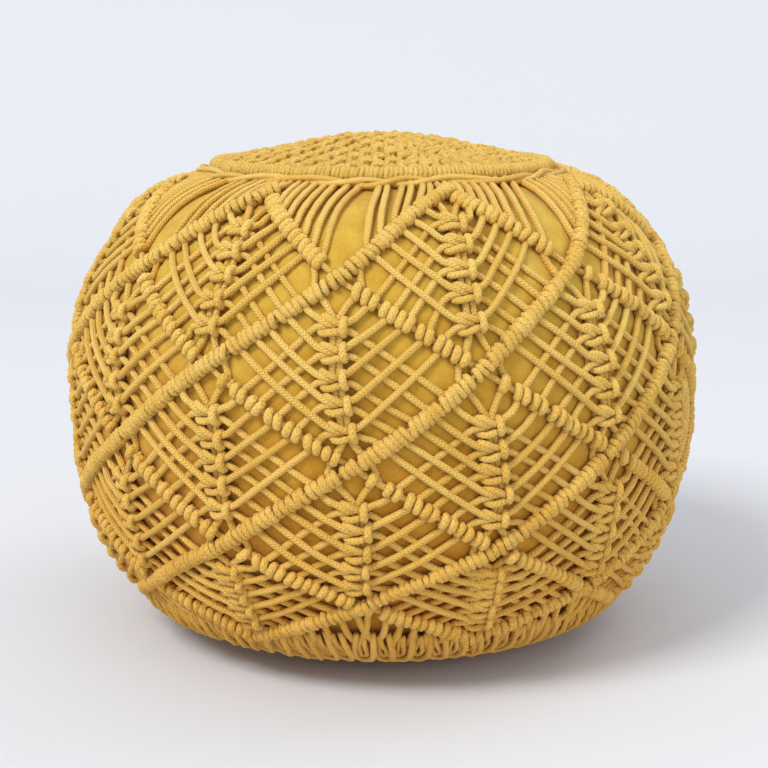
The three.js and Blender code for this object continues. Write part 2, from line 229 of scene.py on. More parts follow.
def rounded(ctrl, spans):
    """Smooth curves through control points (cords, points, 3), with so many steps for each span."""
    before = 2 * ctrl[:, :1] - ctrl[:, 1:2]
    after = 2 * ctrl[:, -1:] - ctrl[:, -2:-1]
    c = np.concatenate([before, ctrl, after], axis=1)
    knots = np.sqrt(np.maximum(np.linalg.norm(np.diff(c, axis=1), axis=2), 1e-6))
    out = []
    for i, steps in enumerate(spans):
        p0, p1, p2, p3 = c[:, i], c[:, i + 1], c[:, i + 2], c[:, i + 3]
        d0, d1, d2 = knots[:, i, None], knots[:, i + 1, None], knots[:, i + 2, None]
        m1 = (p2 - p1) + d1 * ((p1 - p0) / d0 - (p2 - p0) / (d0 + d1))
        m2 = (p2 - p1) + d1 * ((p3 - p2) / d2 - (p3 - p1) / (d1 + d2))
        for k in range(steps):
            t = k / steps
            out.append(
                (2 * t**3 - 3 * t**2 + 1) * p1
                + (t**3 - 2 * t**2 + t) * m1
                + (-2 * t**3 + 3 * t**2) * p2
                + (t**3 - t**2) * m2
            )
    out.append(ctrl[:, -1])
    return np.stack(out, axis=1)


def carried_normals(tangent, closed):
    """Directions across each tube that turn as little as they can on their way along it."""
    cords, n = tangent.shape[:2]
    normal = np.zeros((cords, 3))
    normal[np.arange(cords), np.argmin(np.abs(tangent[:, 0]), axis=1)] = 1
    normals = np.empty_like(tangent)
    for i in range(n):
        t = tangent[:, i]
        normal = normal - np.sum(normal * t, axis=1, keepdims=True) * t
        normal = normal / np.maximum(np.linalg.norm(normal, axis=1, keepdims=True), 1e-9)
        normals[:, i] = normal
    if closed:
        first, last = normals[:, 0], normals[:, -1]
        side = np.cross(tangent[:, 0], first)
        twist = np.arctan2(np.sum(last * side, axis=1), np.sum(last * first, axis=1))
        turn = -twist[:, None] * np.arange(n) / n
        across = np.cross(tangent, normals)
        normals = normals * np.cos(turn)[..., None] + across * np.sin(turn)[..., None]
    return normals


class Shape:
    """Collects tubes and grids into one mesh."""

    def __init__(self):
        self.points, self.faces, self.uvs, self.tones = [], [], [], []
        self.count = 0

    def add_tubes(self, paths, radius, sides=8, closed=False):
        """Cords with a slightly uneven thickness and a tone each. paths is (cords, points, 3) in
        millimetres, and radius a number or one for each point."""
        cords, n, _ = paths.shape
        radius = np.broadcast_to(radius, (cords, n)).copy()
        moves = np.diff(paths, axis=1, prepend=paths[:, :1])
        run = np.cumsum(np.linalg.norm(moves, axis=2), axis=1)
        phase = rng.uniform(0, 6.28, (2, cords, 1))
        radius *= 1 + 0.035 * np.sin(run / 2.1 + phase[0]) + 0.03 * np.sin(run / 1.2 + phase[1])
        radius *= rng.uniform(0.94, 1.05, (cords, 1))
        if closed:
            tangent = np.roll(paths, -1, axis=1) - np.roll(paths, 1, axis=1)
        else:
            tangent = np.gradient(paths, axis=1)
        tangent = tangent / np.maximum(np.linalg.norm(tangent, axis=2, keepdims=True), 1e-9)
        normals = carried_normals(tangent, closed)
        across = np.cross(tangent, normals)
        angle = np.arange(sides) * 2 * math.pi / sides
        ring = (
            normals[:, :, None] * np.cos(angle)[:, None]
            + across[:, :, None] * np.sin(angle)[:, None]
        )
        points = paths[:, :, None] + ring * radius[:, :, None, None]
        index = self.count + np.arange(cords * n * sides).reshape(cords, n, sides)
        self.points.append(points.reshape(-1, 3))
        self.count += cords * n * sides
        steps = np.linalg.norm(np.diff(paths, axis=1), axis=2)
        along = np.concatenate([np.zeros((cords, 1)), np.cumsum(steps, axis=1)], axis=1)
        along = along + rng.uniform(0, 50, (cords, 1))
        if closed:
            low, high = index, np.roll(index, -1, axis=1)
            close = np.linalg.norm(paths[:, 0] - paths[:, -1], axis=1)[:, None]
            upto = np.concatenate([along[:, 1:], along[:, -1:] + close], axis=1)
            start = along
        else:
            low, high = index[:, :-1], index[:, 1:]
            start, upto = along[:, :-1], along[:, 1:]
        quads = np.stack([low, np.roll(low, -1, axis=2), np.roll(high, -1, axis=2), high], axis=-1)
        k0 = np.broadcast_to(np.arange(sides) / sides, low.shape)
        k1 = k0 + 1 / sides
        s = np.broadcast_to(start[:, :, None], low.shape)
        e = np.broadcast_to(upto[:, :, None], low.shape)
        uv = np.stack([k0, s, k1, s, k1, e, k0, e], axis=-1).reshape(*low.shape, 4, 2)
        self.faces.append(quads.reshape(-1, 4))
        self.uvs.append(uv.reshape(-1, 4, 2))
        if not closed:
            self.faces.append(index[:, 0, ::-1].reshape(cords, sides))
            self.uvs.append(np.zeros((cords, sides, 2)))
            self.faces.append(index[:, -1].reshape(cords, sides))
            self.uvs.append(np.zeros((cords, sides, 2)))
        self.tones.append(np.repeat(rng.uniform(0, 1, cords), n * sides))

    def add_grid(self, points, tone):
        """A grid of points (rows, columns, 3), closed round its columns and with two end faces."""
        rows, columns, _ = points.shape
        index = self.count + np.arange(rows * columns).reshape(rows, columns)
        self.points.append(points.reshape(-1, 3))
        self.count += rows * columns
        low, high = index[:-1], index[1:]
        quads = np.stack([low, high, np.roll(high, -1, axis=1), np.roll(low, -1, axis=1)], axis=-1)
        self.faces.append(quads.reshape(-1, 4))
        c = np.broadcast_to(np.arange(columns), low.shape) / columns
        r = np.broadcast_to(np.arange(rows - 1)[:, None], low.shape) / rows
        next_c, next_r = c + 1 / columns, r + 1 / rows
        uv = np.stack([c, r, c, next_r, next_c, next_r, next_c, r], axis=-1)
        self.uvs.append(uv.reshape(-1, 4, 2))
        self.faces.append(index[0][None, :])
        self.uvs.append(np.zeros((1, columns, 2)))
        self.faces.append(index[-1][None, ::-1])
        self.uvs.append(np.zeros((1, columns, 2)))
        self.tones.append(np.full(rows * columns, tone))

    def build(self, name, material, slot, nodes):
        """One object from all that was collected, in metres."""
        mesh = bpy.data.meshes.new(name)
        points = np.concatenate(self.points) * 0.001
        sizes = np.concatenate([np.full(len(f), f.shape[1]) for f in self.faces])
        corners = np.concatenate([f.ravel() for f in self.faces])
        uv = np.concatenate([u.reshape(-1, 2) for u in self.uvs])
        mesh.vertices.add(len(points))
        mesh.vertices.foreach_set("co", points.ravel())
        mesh.loops.add(len(corners))
        mesh.loops.foreach_set("vertex_index", corners)
        mesh.polygons.add(len(sizes))
        mesh.polygons.foreach_set("loop_start", np.concatenate(([0], np.cumsum(sizes)[:-1])))
        mesh.polygons.foreach_set("loop_total", sizes)
        mesh.update(calc_edges=True)
        mesh.polygons.foreach_set("use_smooth", np.ones(len(sizes), bool))
        layer = mesh.uv_layers.new(name="along")
        layer.data.foreach_set("uv", uv.ravel())
        tone = mesh.attributes.new("tone", "FLOAT", "POINT")
        tone.data.foreach_set("value", np.concatenate(self.tones))
        # depth: a point's lift over the cushion as a share of FULL_DEPTH, which the cord material
        # uses for painted shade
        depth = mesh.attributes.new("depth", "FLOAT", "POINT")
        depth.data.foreach_set("value", np.clip(lift_of(points * 1000) / FULL_DEPTH, 0, 1))
        mesh.materials.append(material)
        obj = bpy.data.objects.new(name, mesh)
        bpy.context.scene.collection.objects.link(obj)
        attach(obj, "root")
        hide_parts(*nodes)
        return obj


# The net's places. Steps count half repeats round it, rows count its crossings down. A bar's way is
# -1 where it lies in front, from the upper right to the lower left, and 1 where it lies behind.


def turn_at(step):
    return NET_TURN + step * HALF_STEP


def arc_at(row):
    return float(np.interp(row, range(len(ROW_ARCS)), ROW_ARCS))


hitch_strays = {}


def hitch_at(way, row, step, number):
    """Turn and arc of a hitch on a bar's stretch, the bar's direction and its upward normal."""
    key = (way, row, step % (2 * REPEATS), number)
    if key not in hitch_strays:
        hitch_strays[key] = rng.uniform(-HITCH_STRAY, HITCH_STRAY)
    last = LAST_TOP_HITCH if way > 0 and row == 0 else LAST_HITCH
    first = FIRST_LOWEST_HITCH if row == BAR_ROWS - 1 else FIRST_HITCH
    share = first + (last - first) * (number - 1) / (HITCHES - 1)
    return bar_place(way, row, step, share + hitch_strays[key])


def bar_place(way, row, step, share):
    """Turn and arc at a share of a bar's stretch below a crossing, its direction and its normal."""
    turn, arc = turn_at(step + way * share), arc_at(row + share)
    x = way * HALF_STEP * float(radius_at(arc))
    y = arc_at(row) - arc_at(row + 1)
    size = math.hypot(x, y)
    x, y = x / size, y / size
    return turn, arc, (x, y), (-way * y, way * x)


def near_bar(place, rows, lift):
    """Points given along and across a bar, in cord widths, as (turn, arc, lift) rows."""
    turn, arc, (tx, ty), (nx, ny) = place
    rows = np.asarray(rows, float) * CORD
    u = rows[:, 0] * tx + rows[:, 1] * nx
    v = rows[:, 0] * ty + rows[:, 1] * ny
    return np.stack([turn + u / float(radius_at(arc)), arc - v, lift + rows[:, 2]], axis=1)


def near_knot(turn, arc, rows, lift, tilt, size, cord=CORD):
    """Points given across and up a knot, in cord widths, as (turn, arc, lift) rows."""
    rows = np.asarray(rows, float) * cord * size
    u = rows[:, 0] * math.cos(tilt) - rows[:, 1] * math.sin(tilt)
    v = rows[:, 0] * math.sin(tilt) + rows[:, 1] * math.cos(tilt)
    radius = max(float(radius_at(arc)), LEAST_RADIUS)
    return np.stack([turn + u / radius, arc - v, lift + rows[:, 2]], axis=1)


def between(a, b, count, sag, rise=0.0):
    """Points between two (turn, arc, lift) places, which sag and rise in the middle."""
    t = (np.arange(count) + 1)[:, None] / (count + 1)
    points = a * (1 - t) + b * t
    bow = 4 * t[:, 0] * (1 - t[:, 0])
    points[:, 1] += sag * bow
    points[:, 2] += rise * bow
    return points


# A double half hitch round a bar: along the bar downwards, across it upwards, and outwards, in cord
# widths. The cord comes from above behind the bar, goes round twice and leaves below.
HITCH = np.array([
    [0.30, 0.62, -0.15],
    [-0.02, 0.05, -0.52],
    [-0.40, -0.52, -0.30],
    [-0.56, -0.66, 0.12],
    [-0.60, -0.48, 0.58],
    [-0.66, 0.02, 0.72],
    [-0.72, 0.50, 0.58],
    [-0.76, 0.66, 0.12],
    [-0.48, 0.46, -0.32],
    [0.02, 0.00, -0.55],
    [0.54, -0.48, -0.30],
    [0.76, -0.66, 0.12],
    [0.72, -0.48, 0.58],
    [0.66, 0.02, 0.72],
    [0.60, 0.50, 0.58],
    [0.56, 0.66, 0.12],
    [0.40, 0.45, -0.35],
    [0.26, -0.10, -0.50],
    [0.16, -0.60, -0.25],
])
HITCH_SPANS = [1, 1, 1, 2, 2, 2, 2, 1, 1, 1, 1, 2, 2, 2, 2, 1, 1, 1]
WRAP_FAT = [1.22, 1.33, 1.35, 1.33, 1.22]
HITCH_FAT = [0.9, 0.9, 1.0] + WRAP_FAT + [0.9, 0.85, 0.9] + WRAP_FAT + [0.9, 0.9, 0.95]

# Its rows for the two wraps in front of the bar
FIRST_WRAP = slice(3, 8)
SECOND_WRAP = slice(12, 16)

# How a cord comes to any hitch and leaves it
HITCH_IN = HITCH[:2]
HITCH_OUT = HITCH[-2:]

# One wrap of the closely wrapped bars in front, which have three for each cord
WRAP = np.array([
    [-0.30, -0.50, -0.32],
    [0.06, -0.73, 0.12],
    [0.04, -0.54, 0.62],
    [0.00, 0.02, 0.77],
    [-0.04, 0.56, 0.62],
    [-0.06, 0.73, 0.12],
    [0.12, 0.46, -0.34],
    [0.36, 0.00, -0.55],
])
WRAP_PITCH = 0.90
TRIPLE_HITCH = np.concatenate(
    [HITCH_IN] + [WRAP + [i * WRAP_PITCH, 0, 0] for i in (-1, 0, 1)] + [HITCH_OUT]
)
TRIPLE_SPANS = [1] + 3 * [1, 1, 1, 2, 2, 1, 1, 1] + [1, 1]
TRIPLE_FAT = [0.9] * 2 + 3 * [0.9, 0.95, 1.04, 1.06, 1.04, 0.95, 0.85, 0.85] + [0.9, 0.95]

# A single hitch, where a bar behind starts close under a bar in front
ONE_HITCH = np.concatenate(
    [HITCH[:8] + [0.66, 0, 0], [[0.0, 0.45, -0.32], [0.1, -0.15, -0.5], [0.12, -0.6, -0.25]]]
)
ONE_SPANS = HITCH_SPANS[:7] + [1, 1, 1]
ONE_FAT = HITCH_FAT[:8] + [0.9, 0.9, 0.95]

# A square knot, across to the right, up and outwards, in cord widths: the cord from the right,
# which lies in front, and the cord from the left, which makes the loop on the right
KNOT_RIGHT = np.array([
    [2.30, 1.10, 0.55],
    [1.60, 0.70, 0.45],
    [1.00, 0.38, 0.40],
    [0.40, 0.30, 0.74],
    [-0.40, 0.60, 0.98],
    [-1.10, 0.98, 0.90],
    [-1.58, 1.12, 0.46],
    [-1.84, 0.74, -0.12],
    [-1.88, -0.05, -0.34],
    [-1.84, -0.66, 0.02],
    [-1.46, -0.94, 0.60],
    [-0.70, -0.90, 0.98],
    [0.00, -0.74, 0.98],
    [0.60, -0.58, 0.62],
    [1.10, -0.46, 0.20],
    [1.65, -0.46, 0.05],
    [2.30, -0.74, 0.00],
])
KNOT_RIGHT_SPANS = [1, 1, 2, 2, 2, 2, 2, 2, 1, 2, 2, 2, 2, 1, 1, 1]
KNOT_LEFT = np.array([
    [-2.45, 0.98, 0.60],
    [-1.70, 0.56, 0.84],
    [-1.00, 0.26, 0.68],
    [-0.35, 0.06, 0.44],
    [0.20, 0.02, -0.35],
    [0.65, 0.35, -0.70],
    [1.00, 0.70, -0.46],
    [1.10, 0.92, 0.12],
    [1.06, 0.84, 0.82],
    [1.02, 0.44, 1.24],
    [1.00, -0.04, 1.32],
    [1.00, -0.50, 1.22],
    [1.02, -0.86, 0.78],
    [1.04, -0.92, 0.10],
    [0.76, -0.76, -0.48],
    [0.10, -0.40, -0.70],
    [-0.50, -0.16, -0.30],
    [-1.05, -0.10, 0.30],
    [-1.75, -0.06, 0.50],
    [-2.45, -0.28, 0.30],
    [-3.10, -0.70, 0.05],
])
KNOT_LEFT_SPANS = [1, 1, 1, 1, 1, 1, 1, 2, 2, 2, 2, 2, 2, 1, 1, 1, 1, 1, 1, 1]
KNOT_LEFT_FAT = [1.0] * 6 + [1.0, 1.04, 1.08, 1.1, 1.1, 1.1, 1.08, 1.04] + [1.0] * 7

# The hitches of the bars behind are this much shorter along the bar, and thinner
CLOSER = [0.90, 1, 1]
THINNER = 0.93

# The holding cord inside each stretch of a bar, and how far it dips behind the bars in front
HOLDER_POINTS = 9
HOLDER_RADIUS = 2.3
HOLDER_DIP = 2.0


def fat_along(sizes, spans):
    """Cord radii at the steps of a rounded path whose control points have these sizes."""
    ends = np.concatenate(([0], np.cumsum(spans)))
    return np.interp(np.arange(ends[-1] + 1), ends, sizes) * CORD / 2


def bar_lift(stretch):
    return FRONT_LIFT if stretch[0] < 0 else BACK_LIFT


def add_cords(shape, cords, spans, radius=CORD / 2, sides=7):
    """Cords of the net, which stray as it does."""
    shape.add_tubes(rounded(in_net(np.array(cords)), spans), radius, sides=sides)


def add_flat(shape, cords, spans, radius, sides):
    """Cords placed straight over the cushion, off the net."""
    turn, arc, lift = np.moveaxis(np.array(cords), -1, 0)
    shape.add_tubes(rounded(over(turn, arc, lift), spans), radius, sides=sides)


def varied(hitch):
    """A hitch with a little of its own slant, spacing and size."""
    rows = hitch.copy()
    rows[:, 0] += rng.uniform(-0.10, 0.10) + rng.normal(0, 0.18) * rows[:, 1]
    half = len(rows) // 2
    rows[:half, 0] += rng.normal(0, 0.14) * rows[:half, 1] + rng.uniform(-0.08, 0.10)
    rows[:, 1] *= rng.uniform(0.94, 1.10)
    rows[FIRST_WRAP, 1] *= rng.uniform(0.92, 1.10)
    rows[FIRST_WRAP, 2] *= rng.uniform(0.78, 1.12)
    rows[SECOND_WRAP, 1:] *= rng.uniform(0.90, 1.10)
    return rows


def uneven(hitch):
    """A varied triple hitch whose three wraps also lean, reach and stand out differently."""
    rows = varied(hitch)
    start, length = len(HITCH_IN), len(WRAP)
    for i in range(3):
        wrap = rows[start + length * i:start + length * (i + 1)]
        wrap[:, 0] += rng.normal(0, 0.11) * wrap[:, 1] + rng.uniform(-0.06, 0.06)
        wrap[:, 1] *= rng.uniform(0.90, 1.10)
        wrap[1:6, 2] *= rng.uniform(0.86, 1.12)
    return rows


def bars():
    """All hitches, and the holding cords inside them, of the bars that lie in front and behind."""
    shapes = {}
    for way, lift, name in ((-1, FRONT_LIFT, "bars_front"), (1, BACK_LIFT, "bars_back")):
        shape = Shape()
        pairs, ones, triples, holders = [], [], [], []
        for row in range(BAR_ROWS):
            for k in range(REPEATS):
                step = 2 * k + 1 + way * row
                for number in range(1, HITCHES + 1):
                    place = hitch_at(way, row, step, number)
                    here = lift + rng.uniform(-0.3, 0.5)
                    if way > 0 and number == 1 and row > 0:
                        ones.append(near_bar(place, varied(ONE_HITCH), here))
                    elif way < 0:
                        triples.append(near_bar(place, uneven(TRIPLE_HITCH), here))
                    else:
                        pairs.append(near_bar(place, varied(HITCH) * CLOSER, here))
                holder = []
                for share in np.linspace(0, 1, HOLDER_POINTS):
                    turn, arc = bar_place(way, row, step, share)[:2]
                    dip = HOLDER_DIP if way > 0 and share in (0.0, 1.0) else 0.0
                    holder.append([turn, arc, lift - dip])
                holders.append(holder)
        if way < 0:
            # The hitch on each crossing
            for row in range(len(ROW_ARCS)):
                for k in range(REPEATS):
                    step = 2 * k + 1 + row
                    along, up = bar_place(-1, min(row, BAR_ROWS - 1), step, 0.0)[2:]
                    place = (turn_at(step), arc_at(row), along, up)
                    triples.append(near_bar(place, uneven(TRIPLE_HITCH), lift + 0.3))
        if pairs:
            add_cords(shape, pairs, HITCH_SPANS, fat_along(HITCH_FAT, HITCH_SPANS) * THINNER)
        if triples:
            add_cords(shape, triples, TRIPLE_SPANS, fat_along(TRIPLE_FAT, TRIPLE_SPANS), sides=6)
        if ones:
            add_cords(shape, ones, ONE_SPANS, fat_along(ONE_FAT, ONE_SPANS))
        add_cords(shape, holders, [2] * (HOLDER_POINTS - 1), HOLDER_RADIUS)
        shapes[name] = shape
    return shapes


def out_of(stretch, number):
    """Where a cord leaves a hitch; a stretch of a bar is its way, row and step."""
    return near_bar(hitch_at(*stretch, number), HITCH_OUT, bar_lift(stretch))


def into(stretch, number):
    return near_bar(hitch_at(*stretch, number), HITCH_IN, bar_lift(stretch))


def diamond(top, step, lefts, rights, fillers, edges):
    """The knots below a crossing: working cords, fillers and the two outermost cords."""
    upper = {-1: (-1, top, step), 1: (1, top, step)}
    lower = {-1: (1, top + 1, step - 1), 1: (-1, top + 1, step + 1)}
    start, length = arc_at(top), arc_at(top + 2) - arc_at(top)
    column = []
    for number, down in enumerate(KNOT_DOWN, 2):
        turn = turn_at(step) + rng.normal(0, 0.7) / float(radius_at(start))
        arc = start + length * (down + rng.uniform(-0.008, 0.008))
        tilt = rng.normal(0, 0.06)
        size = rng.uniform(0.97, 1.07)
        lift = KNOT_LIFT + rng.uniform(-0.3, 0.4)
        column.append((turn, arc))
        for side, knot, cords in ((-1, KNOT_LEFT, lefts), (1, KNOT_RIGHT, rights)):
            rows = knot + rng.normal(0, 0.025, knot.shape)
            middle = near_knot(turn, arc, rows, lift, tilt, size)
            a, b = out_of(upper[side], number), into(lower[side], number)
            gone_in = between(a[-1], middle[0], 3, rng.uniform(-0.4, 1.8), 1.2)
            gone_out = between(middle[-1], b[0], 3, rng.uniform(-1.2, 1.2), -0.5)
            cords.append(np.concatenate([a, gone_in, middle, gone_out, b]))
    for side in (-1, 1):
        aside = side * 0.43 * CORD / float(radius_at(column[0][1]))
        core = [[turn + aside, arc, KNOT_LIFT] for turn, arc in column]
        head = [[core[0][0], core[0][1] - 1.3 * CORD, KNOT_LIFT]]
        foot = [[core[-1][0] + 0.3 * aside, core[-1][1] + 1.25 * CORD, KNOT_LIFT]]
        a, b = out_of(upper[side], 1), into(lower[side], HITCHES)
        fillers.append(np.concatenate([a, head, core, foot, b]))
        a, b = out_of(upper[side], HITCHES), into(lower[side], 1)
        edges.append(np.concatenate([a, between(a[-1], b[0], 1, 0.0, -1.6), b]))


def diamonds():
    """The diamonds of the upper, middle and lower rows, by the rows of their top crossings."""
    shapes = []
    for tops in ((0, 1), (2, 3), (4,)):
        shape = Shape()
        lefts, rights, fillers, edges = [], [], [], []
        for top in tops:
            for k in range(REPEATS):
                diamond(top, 2 * k + 1 + top, lefts, rights, fillers, edges)
        reach_in, reach_out = [1, 2, 3, 3, 2], [2, 3, 3, 2, 1]
        left_spans = reach_in + KNOT_LEFT_SPANS + reach_out
        left_fat = [1.0] * 5 + KNOT_LEFT_FAT + [1.0] * 5
        add_cords(shape, lefts, left_spans, fat_along(left_fat, left_spans))
        add_cords(shape, rights, reach_in + KNOT_RIGHT_SPANS + reach_out)
        add_cords(shape, fillers, [1, 2, 2] + [2] * 4 + [1, 3, 1])
        add_cords(shape, edges, [1, 2, 2, 1])
        shapes.append(shape)
    return shapes


# Where the cords of the first bars leave the crown ring, as a share of a half step from the
# crossing, and how far each bows aside on its way down, for the two ways of a bar
FAN_STARTS = {
    1: [0.16, 0.28, 0.40, 0.54, 0.66, 0.86, 1.02],
    -1: [0.10, 0.20, 0.33, 0.46, 0.63, 0.75],
}
FAN_BOWS = {
    1: [0.10, 0.12, 0.14, 0.14, 0.16, 0.20, 0.23],
    -1: [0.02, 0.02, 0.03, 0.04, 0.05, 0.06],
}

# The arcs and lifts where a fan's cord starts, and how much of its bow it has at three places below
FAN_HEAD = [(134.0, 2.4), (145.0, 2.3)]
BOW_DOWN = np.array([1.0, 0.95, 0.5])

# The pair of cords above each first crossing: how far to its own side, arc and lift, and the radius
# there, all in millimetres
LINK_RADIUS = 150.0
LINK = [(3.4, 136.0, 2.4), (2.6, 149.0, 2.8), (-0.6, 158.0, 4.4), (-2.8, 165.0, 3.8)]


def fans():
    """Cords from the crown's rounds to the first bars, and the links to the first crossings."""
    shape = Shape()
    cords, links = [], []
    for k in range(REPEATS):
        step = 2 * k + 1
        for way in (-1, 1):
            stray = rng.uniform(-0.05, 0.05)
            for number, (share, bow) in enumerate(zip(FAN_STARTS[way], FAN_BOWS[way]), 1):
                b = into((way, 0, step), number)
                share = share + stray + rng.uniform(-0.015, 0.015)
                turn = turn_at(step + way * share)
                start = np.array([[turn, arc, lift] for arc, lift in FAN_HEAD])
                middle = between(start[-1], b[0], 3, 0.0, 1.2)
                middle[:, 0] += bow * BOW_DOWN * (b[0, 0] - turn)
                cords.append(np.concatenate([start, middle, b]))
            side = way / LINK_RADIUS
            links.append([[turn_at(step) + aside * side, arc, lift] for aside, arc, lift in LINK])
    add_cords(shape, cords, [1, 2, 3, 3, 2, 1])
    add_cords(shape, links, [2, 2, 2])
    return shape


def crown_knots():
    """Rounds of square knots on the crown, each round half a knot on from the one before."""
    shape = Shape()
    lefts, rights, fillers = [], [], []
    for r in range(1, CROWN_ROUNDS + 1):
        arc = RING_ARC - INSIDE_RING - CROWN_PITCH * (CROWN_ROUNDS - r)
        around = max(5, round(2 * math.pi * float(radius_at(arc)) / CROWN_KNOT_WIDTH))
        for i in range(around):
            turn = 2 * math.pi * (i + 0.5 * (r % 2)) / around + rng.normal(0, 0.9) / max(arc, 20)
            here = arc + rng.uniform(-1.2, 1.2)
            tilt = rng.normal(0, 0.16)
            size = rng.uniform(0.90, 1.03)
            lift = CROWN_LIFT + rng.uniform(-0.5, 0.6)
            for side, knot, cords in ((-1, KNOT_LEFT[:-1], lefts), (1, KNOT_RIGHT, rights)):
                # The same knot, flatter and narrower, its ends led up and down to its neighbours
                rows = knot + rng.normal(0, 0.04, knot.shape)
                rows[0] = [side * 2.1, 1.65, -0.1]
                rows[-1] = [side * 2.0, -1.45, -0.3]
                rows[:, 0] *= 0.90
                rows[:, 2] *= 0.80
                cords.append(near_knot(turn, here, rows, lift, tilt, size, CROWN_CORD))
                post = [[side * 0.5, 2.2, 0.1], [side * 0.42, 0.0, 0.0], [side * 0.5, -2.2, 0.1]]
                fillers.append(near_knot(turn, here, post, lift, tilt, size, CROWN_CORD))
    add_flat(shape, lefts, [1] * 8 + [2] * 3 + [1] * 8, CROWN_CORD / 2, 6)
    add_flat(shape, rights, [1] * 4 + [2] * 2 + [1] * 4 + [2] + [1] * 5, CROWN_CORD / 2, 6)
    add_flat(shape, fillers, [2, 2], CROWN_CORD / 2, 6)
    return shape


def crown_ring():
    """Close hitches round the ring that ends the crown."""
    shape = Shape()
    each = (RING_HITCHES, 1)
    turn = full_turn(RING_HITCHES) + rng.normal(0, 0.0016, RING_HITCHES)
    angle = np.radians([-40, -12, 15, 45, 90, 135, 165, 192, 220])
    arc = RING_ARC + rng.normal(0, 0.25, each) + RING_WRAP * np.cos(angle)
    lift = RING_LIFT + rng.normal(0, 0.2, each) + RING_WRAP * np.sin(angle)
    lean = np.linspace(-0.012, 0.012, len(angle)) * rng.uniform(0.3, 1.2, each)
    path = over(turn[:, None] + lean, arc, lift)
    shape.add_tubes(rounded(path, [1] * 8), 2.0, sides=7)
    around = full_turn(160)
    core = over(around, RING_ARC + 0 * around, RING_CORE_LIFT + 0 * around)
    shape.add_tubes(core[None], RING_CORE_RADIUS, closed=True)
    return shape


def crown_round(way):
    """One of two loose rounds of cord that sag between the crossings and twist round each other."""
    shape = Shape()
    turn = full_turn(320)
    sag = np.cos(REPEATS * (turn - NET_TURN - HALF_STEP))
    twist = ROUND_TWISTS * turn + 0.8 * np.sin(3 * turn + 0.7) + 0.5 * np.sin(7 * turn)
    apart = ROUND_APART + 0.9 * np.sin(5 * turn + 1.1)
    arc = ROUND_ARC - ROUND_SAG * sag + way * apart * np.cos(twist)
    lift = ROUND_LIFT + way * 1.8 * np.sin(twist)
    shape.add_tubes(over(turn, arc, lift)[None], ROUND_RADIUS, closed=True)
    return shape


# A large loop of the base, in millimetres: to the right, up and outwards from the middle of its
# bow. Its right side lies over the next loop, and a smaller loop lies inside it
LOOP = np.array([
    [-4.0, 30.0, -3.6],
    [-5.4, 21.0, -1.6],
    [-6.0, 13.0, -0.4],
    [-5.9, 6.0, 0.2],
    [-4.9, 0.4, 0.4],
    [-2.9, -3.4, 0.5],
    [0.6, -4.6, 0.8],
    [4.0, -2.6, 1.2],
    [6.2, 2.0, 1.8],
    [7.4, 8.0, 2.4],
    [7.8, 15.0, 2.2],
    [7.4, 22.0, 0.4],
    [6.6, 30.0, -3.4],
])
LOOP_SPANS = [1, 1, 1, 1, 2, 2, 2, 2, 1, 1, 1, 1]
INNER_LOOP = np.array([
    [-0.6, 27.0, -3.0],
    [-1.8, 18.0, -1.2],
    [-2.2, 10.0, -1.0],
    [-1.2, 5.0, -0.9],
    [1.0, 3.6, -0.7],
    [2.8, 7.6, -0.2],
    [2.6, 14.0, 0.2],
    [0.9, 21.0, -0.4],
    [0.6, 28.0, -3.2],
])
INNER_SPANS = [1, 1, 2, 2, 2, 1, 1, 1]


def base_loops():
    """The last rounds: cords down from the lowest bars and large nested loops over the floor."""
    shape = Shape()
    cords = []
    row = BAR_ROWS - 1
    for k in range(REPEATS):
        step = 2 * k + 1 + row
        for way in (-1, 1):
            for number in range(1, HITCHES + 1):
                hitch_turn = hitch_at(way, row, step, number)[0]
                a = out_of((way, row, step), number)
                turn, arc = a[-1, :2]
                end = LAST_CORD_ARC + rng.uniform(-3, 3)
                # The cords below the bars in front lean most on the left of the photo
                aslant = 0.4 + 1.3 * np.clip(-1.6 * math.sin(hitch_turn) - 0.5, 0, 1)
                lean = (aslant if way < 0 else -0.15) * max(end - arc, 6.0) / LAST_CORD_RADIUS
                middle = [turn + 0.4 * lean, 0.45 * arc + 0.55 * end, 5.0]
                cords.append(np.concatenate([a, [middle, [turn + lean, max(end, arc + 6), 4.0]]]))
    add_cords(shape, cords, [1, 3, 2])
    outer, inner = [], []
    for i in range(LOOPS):
        turn = 2 * math.pi * (i + rng.uniform(-0.18, 0.18)) / LOOPS
        down = float(wander(turn, 505.0)[1])
        arc = LOOP_ARC + 0.45 * down + rng.uniform(-1.8, 1.8)
        slant = rng.uniform(-0.03, 0.24)
        for table, loops in ((LOOP, outer), (INNER_LOOP, inner)):
            rows = table * [rng.uniform(0.92, 1.04), 1.0, 1.0] + rng.normal(0, 0.25, table.shape)
            turns = turn + (rows[:, 0] - slant * rows[:, 1]) / LOOP_RADIUS
            arcs = arc - rows[:, 1]
            loops.append(np.stack([turns, arcs, by_arc(LOOP_CREST, arcs) + rows[:, 2]], axis=1))
    add_flat(shape, outer, LOOP_SPANS, LOOP_CORD / 2, 8)
    add_flat(shape, inner, INNER_SPANS, LOOP_CORD / 2 - 0.3, 7)
    return shape


